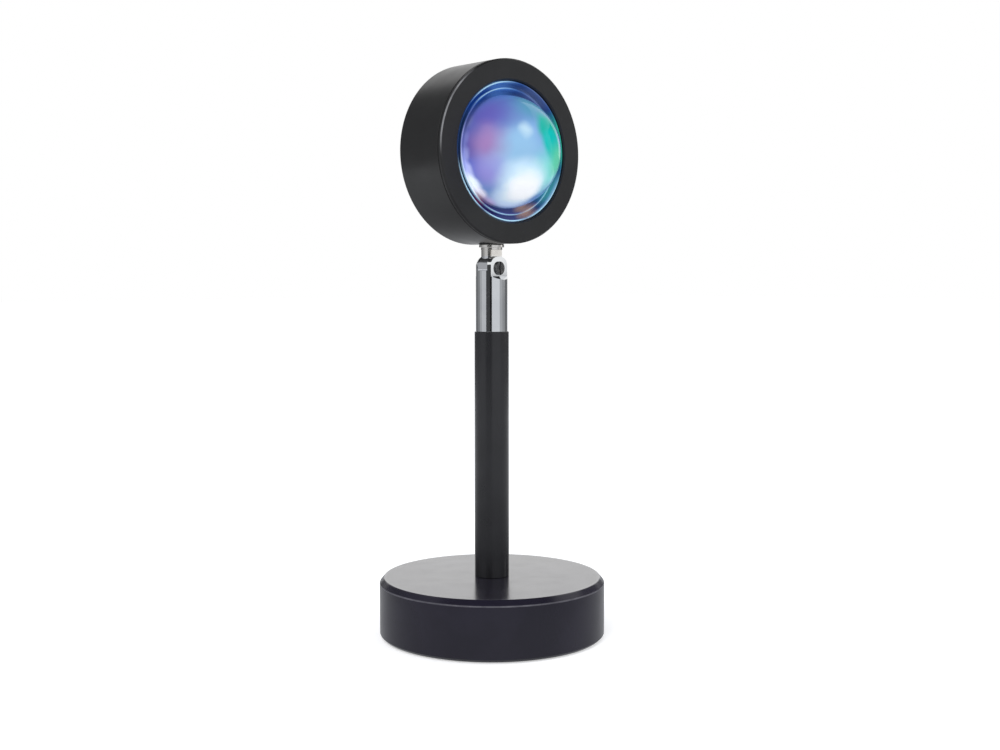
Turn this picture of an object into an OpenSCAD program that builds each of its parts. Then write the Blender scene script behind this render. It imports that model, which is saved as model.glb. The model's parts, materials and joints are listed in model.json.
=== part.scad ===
// Sunset projection lamp: a weighted round base, a slim pole, a slotted tilting
// knuckle, and a drum-shaped head with a domed lens that tints the light.
// The lamp stands on z = 0, its pole is on the Z axis and its head faces -Y.

/* [Base] */
// Diameter of the round base
base_d = 100; // [90:1:120]
// Height of the base with the pad under it
base_h = 26.4; // [26:0.2:32]
// Wall thickness of the pressed steel shell
shell_t = 1.6; // [1.2:0.1:2]
// Width of the sloped edge round the top of the base
edge_w = 2; // [1:0.1:3]
// Height of the sloped edge round the top of the base
edge_h = 2.4; // [1:0.1:3]
// Thickness of the soft pad that the lamp stands on
pad_t = 2; // [1.6:0.1:2.4]
// Thickness of the counterweight's disc
weight_t = 6.6; // [5:0.2:9.6]

/* [Pole] */
// Diameter of the black pole
pole_d = 15.2; // [14.6:0.1:16]
// Length of the black pole above the base
pole_l = 109; // [80:1:180]
// Wall thickness of the pole
pole_t = 1; // [0.8:0.1:1.2]

/* [Knuckle] */
// Diameter of the bright fork on top of the pole
fork_d = 14.1; // [13.8:0.1:14.4]
// Length of the fork
fork_l = 33.2; // [31:0.2:40]
// Radius of the fork's rounded shoulder
shoulder_r = 4; // [3:0.1:4.4]
// Distance from the top of the fork down to its pivot
pivot_drop = 5.3; // [5:0.1:6]
// Angle of the pivot from the way the head faces
fork_turn = 10; // [-45:5:45]
// Diameter of the stem that carries the head
stem_d = 9.5; // [9:0.1:9.8]
// Height of the stem's flange above the pivot
stem_l = 9.1; // [8.8:0.1:14]
// Thickness of the stem's flat tongue in the slot
tongue_t = 5.4; // [5:0.1:5.6]
// Radius of the tongue's round end
tongue_r = 6.3; // [6:0.1:6.4]
// Diameter of the flange under the head
flange_d = 11.2; // [10.6:0.1:12]

/* [Head] */
// Outer diameter of the drum-shaped head
head_d = 79.6; // [78:0.1:90]
// Depth of the head from its front face to its back
head_depth = 28.5; // [27.5:0.5:33]
// Wall thickness of the drum
drum_t = 1.8; // [1.5:0.1:2]
// Diameter of the round opening in the front bezel
opening_d = 61.2; // [60.8:0.1:61.6]
// Depth of the bezel's front plate
bezel_t = 1.7; // [1.4:0.1:1.8]

/* [Lens] */
// Radius of the lens dome
dome_r = 24.5; // [24:0.5:25.5]
// How far the dome's centre lies behind the front face
dome_back = 5.5; // [4:0.5:5.5]
// Radius of the raised glass ring round the dome
glass_ring_r = 27.4; // [27.2:0.1:27.6]

/* [Fits] */
// Radial clearance of a shaft that turns in its hole
running_gap = 0.05; // [0.02:0.01:0.08]
// Gap between two faces that rub, on each side
rub_gap = 0.1; // [0.05:0.01:0.15]
// Radial clearance of pieces that drop into each other
drop_gap = 0.1; // [0.05:0.05:0.2]

/* [Hidden] */
$fn = 96;
slack = 0.5; // how far a cutting shape runs past the face it cuts

// Base
base_r = base_d / 2;
rim_z = 0.6; // the shell's lower rim, clear of the table
rim_round = 1.1;
shell_in_r = base_r - shell_t;
shell_top_t = 1.6;
shell_ceiling = base_h - shell_top_t;
cover_t = 1.2;
cover_r = shell_in_r - drop_gap;
cover_top = pad_t + cover_t;
pad_r = shell_in_r - 1;
weight_r = shell_in_r - 4;
weight_z = shell_ceiling - weight_t;
post_r = 4.5;
post_ring_r = weight_r - 8;
screw_d = 3;
screw_head_d = 5.6;
screw_head_h = 1;
screw_l = 10;
lead_groove_w = 5;
lead_groove_h = 3;

// Cord inlet at the back of the base
inlet_z = 9;
cord_d = 3.6;
gland_d = 7.4;
gland_flange_d = 11;
gland_flange_t = 1.4;
gland_lock_t = 1.4;
gland_l = 8;

// Threaded tubes and their nuts
thread_d = 10;
thread_bore_d = 6.6;
nipple_up = 14;
washer_d = 20;
washer_t = 1.2;
base_nut_w = 14;
base_nut_h = 4;
nipple_low = weight_z - washer_t - base_nut_h - 0.8;
bush_l = 16;
pole_top = base_h + pole_l;
bush_r = pole_d / 2 - pole_t;

// Knuckle
fork_r = fork_d / 2;
fork_top = pole_top + fork_l;
pivot_z = fork_top - pivot_drop;
slot_w = tongue_t + 2 * rub_gap;
pocket_r = tongue_r + 0.15;
near_lip_z = pivot_z - 1;
stem_room = stem_d / 2 + 0.25; // from the pivot down to the floor of the slot's open side
ear_flat = 4.25; // from the axis to the flat on each ear
ear_ledge_z = pivot_z - 3.5;
ear_ledge_drop = 1.5;
fork_thread_l = 12.5;
fork_wire_d = 4.6;
pin_d = 3.4;
pin_head_d = 6;
pin_head_h = 0.9;
pin_slot_w = 0.7;
pin_slot_h = 0.4;
pin_washer_t = 0.5;
pin_nut_w = 5.5;
pin_nut_h = 1.9;

// Stem
flange_z = pivot_z + stem_l;
flange_t = 1.3;
flange_top = flange_z + flange_t;
flats_top = flange_z - 0.9;
shank_d = 8;
stem_bore_d = 4.4;
channel_w = 2.6;
channel_x = 2.6; // from the axis to the side channel that takes the lead past the pivot
channel_end_x = 5;
slip_t = 0.55;
landing_z = flange_top + rub_gap / 2 + slip_t; // flat on the drum's underside
boss_t = 2.6;
boss_d = 14;
boss_top = landing_z + boss_t;
stem_washer_t = 0.7;
stem_washer_d = 12.6;
stem_nut_w = 11;
stem_nut_h = 2.2;
stem_nut_z = boss_top + rub_gap / 2 + stem_washer_t;
stem_top = stem_nut_z + stem_nut_h + 0.3;

// Head: measured along its own axis, forwards from the middle of the drum
head_r = head_d / 2;
landing_r = flange_d / 2 + 0.2;
landing_sag = head_r - sqrt(head_r * head_r - landing_r * landing_r);
head_z = landing_z + head_r - landing_sag;
front = head_depth / 2;
back_t = 2;
back_round = 0.8;
drum_in_r = head_r - drum_t;
seam_w = 0.4;
seam_deep = 0.9;
bezel_edge = 0.6;
skirt_t = 1.5;
skirt_end = boss_d / 2 + 0.55; // from the head's middle forwards to the end of the skirt
drum_l = head_depth - bezel_t - seam_w;
opening_r = opening_d / 2;
lens_seat = 4.6; // depth behind the front face at which the lens flange stops
lens_flange_t = 3;
lens_back = lens_seat + lens_flange_t;
lens_r = opening_r + 0.8;
lens_wall_t = 1.6;
dome_foot = 6; // depth of the groove between the dome and the raised ring
glass_ring_w = 0.8;
glass_ring_top = 2.1;
lens_lip_w = 0.6; // thin outer lip of the lens, just inside the opening
lens_lip_gap = 0.4;
lens_lip_top = 0.9;

// Light engine inside the head
gasket_t = 0.9;
gasket_in_r = 28;
holder_flange_t = 1.5;
holder_r = 28;
holder_in_r = 26;
holder_front = front - lens_back - gasket_t;
filter_t = 1.1;
filter_r = holder_in_r - drop_gap;
filter_z = holder_front - 0.25;
reflector_t = 0.8;
reflector_mouth_r = 22;
reflector_throat_r = 4.8;
reflector_z = filter_z - reflector_t;
engine_l = 6.5; // from the front of the holder to the heat sink
sink_face = holder_front - engine_l;
sink_t = 2.5;
sink_r = holder_r - 1;
fin_t = 1.2;
fin_pitch = 3.3;
fin_rows = 5; // fins on each side of the middle one
fin_r = 18;
fin_tip = back_t + 0.4 - front;
sink_screw_r = 23;
sink_screw_d = 2.5;
sink_screw_head_d = 4.4;
sink_screw_head_h = 1.5;
sink_screw_l = sink_face + front - back_t - 2.5;
sink_post_r = 3;
sink_notch_w = 4;
board_r = 12;
board_t = 1.6;
board_face = sink_face + board_t;
chip_w = 5;
chip_h = 0.8;
chip_dome_r = 1.9;
pad_w = 2;
pad_l = 3;

// Routes of the two leads, as distances back from the pole axis and heights
lead_d = 3.2;
head_lead_d = 2.4;
lead_sides = 8;
lead_steps = 4;
inlet_end_y = base_r + gland_flange_t - gland_l - 0.8;
cover_lead_z = cover_top + lead_d / 2 + 0.3;
board_middle_y = -sink_face - board_t / 2;
sink_back_y = sink_t - sink_face;
pole_lead_route = [
    [inlet_end_y, inlet_z], [inlet_end_y - 6, 7.5], [28, cover_lead_z], [14, cover_lead_z], [5, 6], [0.8, 10],
    [0, 16], [0, pole_top / 3], [0, pole_top * 2 / 3], [0, pole_top], [0, pivot_z - pocket_r - 2.5]
];
head_lead_route = [
    [0, stem_top + 0.3], [1.2, stem_top + 1.4], [4, stem_top + 2.1], [sink_back_y + 3.2, stem_top + 5],
    [sink_back_y + 2.9, head_z - sink_r + 2.8], [sink_back_y + 0.3, head_z - sink_r + 5.4],
    [sink_back_y - 2.3, head_z - sink_r + 7.4],
    [board_middle_y, head_z - board_r - 5], [board_middle_y, head_z - board_r - 0.05]
];

// ---------- Shared shapes ----------

// A plain ring standing on z = 0
module ring(r_out, r_in, h) {
    difference() {
        cylinder(r = r_out, h = h);
        translate([0, 0, -slack]) cylinder(r = r_in, h = h + 2 * slack);
    }
}

// A hexagonal nut with a round hole, standing on z = 0
module hex_nut(width, h, hole_d) {
    difference() {
        intersection() {
            cylinder(d = width / cos(30), h = h, $fn = 6);
            cylinder(r1 = width / 2 + h * 2, r2 = width / 2 - 0.1, h = h);
            cylinder(r1 = width / 2 + 0.3, r2 = width / 2 + h * 3, h = h);
        }
        translate([0, 0, -slack]) cylinder(d = hole_d, h = h + 2 * slack);
    }
}

// Half outline of a disc from the axis to r, with its outer corners rounded at one end
module round_end_outline(r, l, corner) {
    square([r, l - corner]);
    square([r - corner, l]);
    translate([r - corner, l - corner]) intersection() {
        circle(r = corner);
        square(corner);
    }
}

// Points along a smooth curve through p
function curve_point(a, b, c, d, t) = 0.5 * (2 * b + (c - a) * t + (2 * a - 5 * b + 4 * c - d) * t * t
    + (3 * b - a - 3 * c + d) * t * t * t);
function curve(p, steps) = [
    for (i = [0 : len(p) - 2], k = [0 : steps - 1])
        curve_point(p[max(i - 1, 0)], p[i], p[i + 1], p[min(i + 2, len(p) - 1)], k / steps),
    p[len(p) - 1]
];

// A round lead along a route in the lamp's middle plane
module lead(route, d) {
    path = curve(route, lead_steps);
    last = len(path) - 1;
    points = [
        for (i = [0 : last])
            let (step = path[min(i + 1, last)] - path[max(i - 1, 0)], along = step / norm(step))
            for (k = [0 : lead_sides - 1])
                let (w = 360 * k / lead_sides)
                [cos(w) * d / 2, path[i][0] + sin(w) * along[1] * d / 2, path[i][1] - sin(w) * along[0] * d / 2]
    ];
    sides = [
        for (i = [0 : last - 1], k = [0 : lead_sides - 1])
            let (m = (k + 1) % lead_sides, low = i * lead_sides, high = low + lead_sides)
            [low + k, high + k, high + m, low + m]
    ];
    start = [for (k = [0 : lead_sides - 1]) k];
    end = [for (k = [lead_sides - 1 : -1 : 0]) last * lead_sides + k];
    polyhedron(points, concat([start], sides, [end]));
}

// ---------- Places ----------

// The knuckle's own directions: the pivot runs along Y, its screw head on the -Y side,
// and the slot's open side faces +X
module at_knuckle() {
    rotate([0, 0, fork_turn]) children();
}

// Along the pivot, from the axis outwards to the screw head
module along_pivot() {
    at_knuckle() translate([0, 0, pivot_z]) rotate([90, 0, 0]) children();
}

// The head's own directions: forwards is +Z, up is +Y, the middle of the drum is the origin
module at_head() {
    translate([0, 0, head_z]) rotate([90, 0, 0]) children();
}

// Three places round the head's axis that leave the bottom free
module at_sink_screws() {
    for (a = [30, 150, 270]) rotate([0, 0, a + 180]) translate([sink_screw_r, 0, 0]) children();
}

// Three places round the pole axis, clear of the lead's groove at the back
module at_cover_screws() {
    for (a = [30, 150, 270]) rotate([0, 0, a]) translate([post_ring_r, 0, 0]) children();
}

// ---------- Base ----------

module shell_outline() {
    polygon([
        [0, rim_z], [base_r - rim_round, rim_z], [base_r, rim_z + rim_round],
        [base_r, base_h - edge_h], [base_r - edge_w, base_h], [0, base_h]
    ]);
}

module base_shell() {
    color([0.12, 0.12, 0.15]) difference() {
        rotate_extrude() shell_outline();
        translate([0, 0, -slack]) cylinder(r = shell_in_r, h = shell_ceiling - edge_h + slack);
        translate([0, 0, shell_ceiling - edge_h - 0.01])
            cylinder(r1 = shell_in_r, r2 = shell_in_r - edge_w, h = edge_h + 0.01);
        cylinder(d = thread_d + 2 * drop_gap, h = base_h + slack);
        translate([0, 0, inlet_z]) rotate([-90, 0, 0]) cylinder(d = gland_d + 2 * drop_gap, h = base_r + slack);
    }
}

module counterweight() {
    color([0.3, 0.3, 0.32]) difference() {
        union() {
            translate([0, 0, weight_z]) cylinder(r = weight_r, h = weight_t);
            at_cover_screws() translate([0, 0, cover_top]) cylinder(r = post_r, h = weight_z - cover_top + 1);
        }
        translate([0, 0, weight_z - slack]) cylinder(d = thread_d + 2 * drop_gap, h = weight_t + 2 * slack);
        translate([-lead_groove_w / 2, 0, weight_z - slack])
            cube([lead_groove_w, weight_r + slack, lead_groove_h + slack]);
        at_cover_screws() translate([0, 0, cover_top - slack]) cylinder(d = screw_d, h = screw_l + slack);
    }
}

module bottom_cover() {
    color([0.45, 0.45, 0.47]) difference() {
        translate([0, 0, pad_t]) cylinder(r = cover_r, h = cover_t);
        at_cover_screws() {
            translate([0, 0, pad_t - slack]) cylinder(d = screw_d + 2 * drop_gap, h = cover_t + 2 * slack);
            translate([0, 0, pad_t]) cylinder(d1 = screw_head_d, d2 = screw_d, h = screw_head_h);
        }
    }
}

module base_pad() {
    color([0.08, 0.08, 0.08]) cylinder(r = pad_r, h = pad_t);
}

module cover_screws() {
    color([0.7, 0.7, 0.7]) at_cover_screws() difference() {
        union() {
            translate([0, 0, pad_t]) cylinder(d1 = screw_head_d, d2 = screw_d, h = screw_head_h);
            translate([0, 0, pad_t]) cylinder(d = screw_d, h = screw_l - 1);
        }
        for (a = [0, 90]) rotate([0, 0, a]) translate([-1.5, -0.3, pad_t - slack]) cube([3, 0.6, 0.6 + slack]);
    }
}

module cable_gland() {
    color([0.1, 0.1, 0.1]) translate([0, 0, inlet_z]) rotate([-90, 0, 0]) difference() {
        union() {
            translate([0, 0, base_r + gland_flange_t - gland_l]) cylinder(d = gland_d, h = gland_l);
            difference() {
                translate([0, 0, base_r - 1]) cylinder(d = gland_flange_d, h = gland_flange_t + 1);
                rotate([90, 0, 0]) cylinder(r = base_r, h = base_h * 2, center = true);
            }
            translate([0, 0, shell_in_r - gland_flange_d * gland_flange_d / shell_in_r / 8 - gland_lock_t])
                cylinder(d = gland_flange_d, h = gland_lock_t);
        }
        translate([0, 0, base_r - gland_l - slack]) cylinder(d = cord_d, h = gland_l + gland_flange_t + 2 * slack);
    }
}

module base_nipple() {
    color([0.75, 0.72, 0.6]) translate([0, 0, nipple_low])
        ring(thread_d / 2, thread_bore_d / 2, base_h + nipple_up - nipple_low);
}

module base_washer() {
    color([0.7, 0.7, 0.7]) translate([0, 0, weight_z - washer_t])
        ring(washer_d / 2, thread_d / 2 + drop_gap, washer_t);
}

module base_nut() {
    color([0.7, 0.7, 0.7]) translate([0, 0, weight_z - washer_t - base_nut_h])
        hex_nut(base_nut_w, base_nut_h, thread_d);
}

// ---------- Pole ----------

module pole_tube() {
    color([0.13, 0.13, 0.14]) translate([0, 0, base_h]) ring(pole_d / 2, bush_r, pole_l);
}

module pole_bush() {
    ring(bush_r, thread_d / 2, bush_l);
}

module pole_bottom_bush() {
    color([0.78, 0.7, 0.45]) translate([0, 0, base_h]) pole_bush();
}

module pole_top_bush() {
    color([0.78, 0.7, 0.45]) translate([0, 0, pole_top - bush_l]) pole_bush();
}

module fork_nipple() {
    color([0.75, 0.72, 0.6]) translate([0, 0, pole_top - nipple_up])
        ring(thread_d / 2, thread_bore_d / 2, nipple_up + fork_thread_l - 0.5);
}

// ---------- Knuckle ----------

// The room the stem needs: a round pocket for the tongue, open above the near lip and
// cut lower on the side that the stem tips over
module fork_slot() {
    translate([0, slot_w / 2, pivot_z]) rotate([90, 0, 0]) cylinder(r = pocket_r, h = slot_w);
    translate([-fork_r - slack, -slot_w / 2, near_lip_z])
        cube([fork_d + 2 * slack, slot_w, fork_top - near_lip_z + slack]);
    translate([0, -slot_w / 2, pivot_z - stem_room])
        cube([fork_r + slack, slot_w, fork_top - pivot_z + stem_room + slack]);
}

// One of the two flats that the pivot's head and nut sit on, with its sloping ledge
module ear_cut() {
    ledge_slope = ear_ledge_drop / (fork_r - ear_flat);
    rotate([90, 0, 90]) translate([0, 0, -fork_r - slack]) linear_extrude(fork_d + 2 * slack) polygon([
        [ear_flat, ear_ledge_z], [fork_r + slack, ear_ledge_z - ledge_slope * (fork_r + slack - ear_flat)],
        [fork_r + slack, fork_top + slack], [ear_flat, fork_top + slack]
    ]);
}

module knuckle_fork() {
    color([0.75, 0.76, 0.78]) at_knuckle() difference() {
        translate([0, 0, pole_top]) rotate_extrude() round_end_outline(fork_r, fork_l, shoulder_r);
        fork_slot();
        for (side = [0, 1]) mirror([0, side, 0]) ear_cut();
        translate([0, fork_r, pivot_z]) rotate([90, 0, 0]) cylinder(d = pin_d + 2 * drop_gap, h = fork_d);
        translate([0, 0, pole_top - slack]) cylinder(d = thread_d, h = fork_thread_l + slack);
        translate([0, 0, pole_top]) cylinder(d = fork_wire_d, h = fork_l - pivot_drop);
    }
}

module pivot_screw() {
    shank_l = ear_flat * 2 + pin_washer_t + pin_nut_h;
    color([0.7, 0.7, 0.7]) along_pivot() difference() {
        union() {
            translate([0, 0, ear_flat - shank_l]) cylinder(d = pin_d, h = shank_l + pin_head_h / 2);
            translate([0, 0, ear_flat]) rotate_extrude() round_end_outline(pin_head_d / 2, pin_head_h, 0.5);
        }
        translate([-pin_slot_w / 2, -pin_head_d, ear_flat + pin_head_h - pin_slot_h])
            cube([pin_slot_w, pin_head_d * 2, pin_slot_h + slack]);
    }
}

module pivot_washer() {
    color([0.65, 0.65, 0.65]) along_pivot() translate([0, 0, -ear_flat - pin_washer_t])
        ring(pin_head_d / 2, pin_d / 2 + drop_gap, pin_washer_t);
}

module pivot_nut() {
    color([0.7, 0.7, 0.7]) along_pivot() translate([0, 0, -ear_flat - pin_washer_t]) mirror([0, 0, 1])
        hex_nut(pin_nut_w, pin_nut_h, pin_d);
}

// The lead's way through the stem: down its bore, then past the pivot in a side channel
module stem_wire_way() {
    translate([0, 0, pivot_z + 3.6]) cylinder(d = stem_bore_d, h = stem_top);
    translate([0, -channel_w / 2, pivot_z + 3.6]) cube([channel_end_x, channel_w, 2.6]);
    translate([channel_x, -channel_w / 2, pivot_z - tongue_r - slack])
        cube([channel_end_x - channel_x, channel_w, tongue_r + 6.2 + slack]);
}

module swivel_stem() {
    color([0.72, 0.7, 0.66]) at_knuckle() difference() {
        union() {
            intersection() {
                union() {
                    translate([0, tongue_t / 2, pivot_z]) rotate([90, 0, 0]) cylinder(r = tongue_r, h = tongue_t);
                    translate([0, 0, pivot_z]) cylinder(d = stem_d, h = flats_top - pivot_z + 0.1);
                }
                translate([-tongue_r * 2, -tongue_t / 2, pivot_z - tongue_r * 2])
                    cube([tongue_r * 4, tongue_t, tongue_r * 2 + flats_top - pivot_z]);
            }
            translate([0, 0, flats_top]) cylinder(d = stem_d, h = flange_z - flats_top + 0.1);
            translate([0, 0, flange_z]) cylinder(d = flange_d, h = flange_t);
            translate([0, 0, flange_z]) cylinder(d = shank_d, h = stem_top - flange_z);
        }
        stem_wire_way();
        translate([0, fork_r, pivot_z]) rotate([90, 0, 0]) cylinder(d = pin_d + 2 * running_gap, h = fork_d);
    }
}

module stem_washer() {
    color([0.7, 0.7, 0.7]) translate([0, 0, stem_nut_z - stem_washer_t])
        ring(stem_washer_d / 2, shank_d / 2 + drop_gap, stem_washer_t);
}

module stem_nut() {
    color([0.7, 0.7, 0.7]) translate([0, 0, stem_nut_z]) hex_nut(stem_nut_w, stem_nut_h, shank_d);
}

// ---------- Head ----------

module slip_washer() {
    color([0.1, 0.1, 0.1]) translate([0, 0, landing_z - slip_t])
        ring(flange_d / 2 - 0.2, shank_d / 2 + drop_gap, slip_t);
}

module head_drum() {
    color([0.13, 0.13, 0.13]) difference() {
        union() {
            at_head() difference() {
                mirror([0, 0, 1]) translate([0, 0, bezel_t + seam_w - front])
                    rotate_extrude() round_end_outline(head_r, drum_l, back_round);
                translate([0, 0, back_t - front]) cylinder(r = drum_in_r, h = head_depth);
            }
            at_head() intersection() {
                at_sink_screws() translate([0, 0, back_t - front - 0.1])
                    cylinder(r = sink_post_r, h = sink_face - sink_t + front - back_t + 0.1);
                cylinder(r = drum_in_r + 0.1, h = head_depth, center = true);
            }
            intersection() {
                translate([0, 0, landing_z]) cylinder(d = boss_d, h = boss_t);
                at_head() cylinder(r = head_r - 0.1, h = head_depth - 1, center = true);
            }
        }
        translate([0, 0, landing_z - flange_d]) cylinder(r = landing_r, h = flange_d);
        translate([0, 0, landing_z - slack]) cylinder(d = shank_d + 2 * running_gap, h = boss_t + 2 * slack);
        at_head() at_sink_screws() translate([0, 0, back_t - front + 1])
            cylinder(d = sink_screw_d, h = head_depth / 2);
    }
}

// Half outline of the bezel: front plate, seam, skirt in the drum, and the wall round the lens
// with the step that the lens flange stops against
module bezel_outline() {
    plate_back = front - bezel_t;
    seam_back = plate_back - seam_w;
    skirt_r = drum_in_r - drop_gap;
    wall_in_r = lens_r + drop_gap;
    wall_end = front - lens_back + 0.5;
    polygon([
        [opening_r, front], [head_r - bezel_edge, front], [head_r, front - bezel_edge],
        [head_r, plate_back], [head_r - seam_deep, plate_back], [head_r - seam_deep, seam_back],
        [skirt_r, seam_back], [skirt_r, skirt_end], [skirt_r - skirt_t, skirt_end],
        [skirt_r - skirt_t, seam_back], [wall_in_r + lens_wall_t, seam_back],
        [wall_in_r + lens_wall_t, wall_end], [wall_in_r, wall_end],
        [wall_in_r, front - lens_seat], [opening_r, front - lens_seat]
    ]);
}

module front_bezel() {
    color([0.15, 0.15, 0.16]) at_head() rotate_extrude() bezel_outline();
}

// Half outline of the lens under its dome: flat back, flange, outer lip, raised ring and groove
module lens_base_outline() {
    lip_r = opening_r - lens_lip_gap;
    polygon([
        [0, front - lens_back], [lens_r, front - lens_back], [lens_r, front - lens_seat],
        [lip_r, front - lens_seat], [lip_r, front - lens_lip_top],
        [lip_r - lens_lip_w, front - lens_lip_top], [lip_r - lens_lip_w - 0.3, front - lens_seat],
        [glass_ring_r + 0.4, front - lens_seat], [glass_ring_r, front - glass_ring_top],
        [glass_ring_r - glass_ring_w, front - glass_ring_top],
        [glass_ring_r - glass_ring_w - 0.3, front - dome_foot], [dome_r, front - dome_foot],
        [dome_r, front - dome_back], [0, front - dome_back]
    ]);
}

module lens() {
    color([0.45, 0.6, 0.85, 0.8]) at_head() {
        rotate_extrude() lens_base_outline();
        translate([0, 0, front - dome_back]) intersection() {
            sphere(r = dome_r);
            translate([0, 0, -slack]) cylinder(r = dome_r + 1, h = dome_r + 1);
        }
    }
}

module lens_gasket() {
    color([0.05, 0.05, 0.05]) at_head() translate([0, 0, holder_front])
        ring(lens_r - drop_gap, gasket_in_r, gasket_t);
}

module lens_holder() {
    color([0.1, 0.1, 0.1]) at_head() {
        translate([0, 0, holder_front - holder_flange_t]) ring(lens_r - drop_gap, holder_in_r, holder_flange_t);
        translate([0, 0, sink_face]) ring(holder_r, holder_in_r, holder_front - sink_face - 0.1);
    }
}

module color_filter() {
    color([0.95, 0.55, 0.2, 0.6]) at_head() translate([0, 0, filter_z]) cylinder(r = filter_r, h = filter_t);
}

module reflector() {
    color([0.85, 0.85, 0.85]) at_head() rotate_extrude() polygon([
        [reflector_throat_r, board_face + 0.1], [reflector_mouth_r, reflector_z],
        [filter_r, reflector_z], [filter_r, filter_z], [reflector_mouth_r - 0.8, filter_z],
        [reflector_throat_r, board_face + 0.1 + reflector_t]
    ]);
}

module heatsink() {
    color([0.7, 0.7, 0.72]) at_head() difference() {
        union() {
            translate([0, 0, sink_face - sink_t]) cylinder(r = sink_r, h = sink_t);
            intersection() {
                translate([0, 0, fin_tip]) cylinder(r = fin_r, h = sink_face - fin_tip - 1);
                for (i = [-fin_rows : fin_rows]) translate([i * fin_pitch - fin_t / 2, -fin_r, fin_tip])
                    cube([fin_t, fin_r * 2, sink_face - fin_tip - 1]);
            }
        }
        at_sink_screws() translate([0, 0, sink_face - sink_t - slack])
            cylinder(d = sink_screw_d + 2 * drop_gap, h = sink_t + 2 * slack);
        translate([-sink_notch_w / 2, -sink_r - slack, sink_face - sink_t - slack])
            cube([sink_notch_w, sink_r - board_r + slack, sink_t + 2 * slack]);
    }
}

module heatsink_screws() {
    color([0.7, 0.7, 0.7]) at_head() at_sink_screws() difference() {
        union() {
            translate([0, 0, sink_face]) cylinder(d = sink_screw_head_d, h = sink_screw_head_h);
            translate([0, 0, sink_face - sink_screw_l]) cylinder(d = sink_screw_d, h = sink_screw_l + 0.1);
        }
        for (a = [0, 90]) rotate([0, 0, a]) translate([-1.2, -0.25, sink_face + sink_screw_head_h - 0.7])
            cube([2.4, 0.5, 0.7 + slack]);
    }
}

module led_board() {
    color([0.92, 0.92, 0.9]) at_head() {
        translate([0, 0, sink_face]) cylinder(r = board_r, h = board_t);
        for (side = [-1, 1]) translate([side * 3 - pad_w / 2, -board_r + 1.2, board_face - 0.05])
            cube([pad_w, pad_l, 0.15]);
    }
}

module led_chip() {
    color([0.95, 0.85, 0.3]) at_head() translate([0, 0, board_face]) {
        translate([-chip_w / 2, -chip_w / 2, 0]) cube([chip_w, chip_w, chip_h]);
        intersection() {
            translate([0, 0, chip_h]) sphere(r = chip_dome_r);
            translate([-chip_w, -chip_w, chip_h - 0.1]) cube([2 * chip_w, 2 * chip_w, chip_w]);
        }
    }
}

module pole_lead() {
    color([0.08, 0.08, 0.08]) lead(pole_lead_route, lead_d);
}

module head_lead() {
    color([0.08, 0.08, 0.08]) lead(head_lead_route, head_lead_d);
}

base_shell();
counterweight();
bottom_cover();
base_pad();
cover_screws();
cable_gland();
base_nipple();
base_washer();
base_nut();
pole_tube();
pole_bottom_bush();
pole_top_bush();
fork_nipple();
knuckle_fork();
pivot_screw();
pivot_washer();
pivot_nut();
swivel_stem();
stem_washer();
stem_nut();
slip_washer();
head_drum();
front_bezel();
lens();
lens_gasket();
lens_holder();
color_filter();
reflector();
heatsink();
heatsink_screws();
led_board();
led_chip();
pole_lead();
head_lead();
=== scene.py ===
import json
import math

import bpy
from mathutils import Matrix, Vector


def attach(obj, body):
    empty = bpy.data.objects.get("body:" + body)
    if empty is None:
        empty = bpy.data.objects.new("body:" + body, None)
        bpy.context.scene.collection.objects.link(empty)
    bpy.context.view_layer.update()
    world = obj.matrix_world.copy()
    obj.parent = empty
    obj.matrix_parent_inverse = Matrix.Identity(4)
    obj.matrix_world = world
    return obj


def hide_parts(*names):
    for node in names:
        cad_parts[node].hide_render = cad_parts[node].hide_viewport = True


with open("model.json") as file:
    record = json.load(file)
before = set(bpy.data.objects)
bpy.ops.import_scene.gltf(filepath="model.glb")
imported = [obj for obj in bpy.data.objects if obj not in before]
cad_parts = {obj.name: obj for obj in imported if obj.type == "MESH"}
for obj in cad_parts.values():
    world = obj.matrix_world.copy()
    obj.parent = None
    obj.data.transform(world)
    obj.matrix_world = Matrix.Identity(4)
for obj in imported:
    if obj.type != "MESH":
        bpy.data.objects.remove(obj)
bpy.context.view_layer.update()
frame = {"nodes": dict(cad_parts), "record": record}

bpy.context.scene.view_settings.view_transform = "Standard"

# Sizes are in millimetres until a piece is settled in its place
MM = 0.001
SIDES = 192  # facets round a large turned piece
FINE_SIDES = 128  # facets round a small one

BASE_R = 50
BASE_TOP = 26.4
POLE_R = 7.6
POLE_TOP = 135.4
FORK_R = 7.05
FORK_TOP = 168.6
PIVOT_Z = 163.3
FORK_TURN = math.radians(10)
FLATS_TOP = 171.5
FLANGE_Z = 172.4
FLANGE_TOP = 173.7
LANDING_Z = 174.3
HEAD_R = 39.8
HEAD_Z = 213.675
HEAD_TURN = (math.radians(90), 0, 0)
HEAD_PLACE = (0, 0, HEAD_Z)
FRONT = 14.25  # from the middle of the head to its front face
DOME_R = 24.5
DOME_MIDDLE = FRONT - 5.5  # the centre of the dome's sphere, along the head's axis
INLET_Z = 9
EAR_FLAT = 4.25  # from the pole's axis to the flat of either ear
LEDGE_Z = 159.8
SHARP = math.radians(32)  # an edge that turns more than this stays an edge

# The camera and the cards round the lamp, in metres and degrees
CAMERA_PLACE = (-0.40011, -0.46993, 0.15983)
CAMERA_AZIMUTH = -40.412
CAMERA_DOWN = 3.043
CAMERA_ROLL = -0.00121  # in radians
CARD_DISTANCE = 1.2

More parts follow.
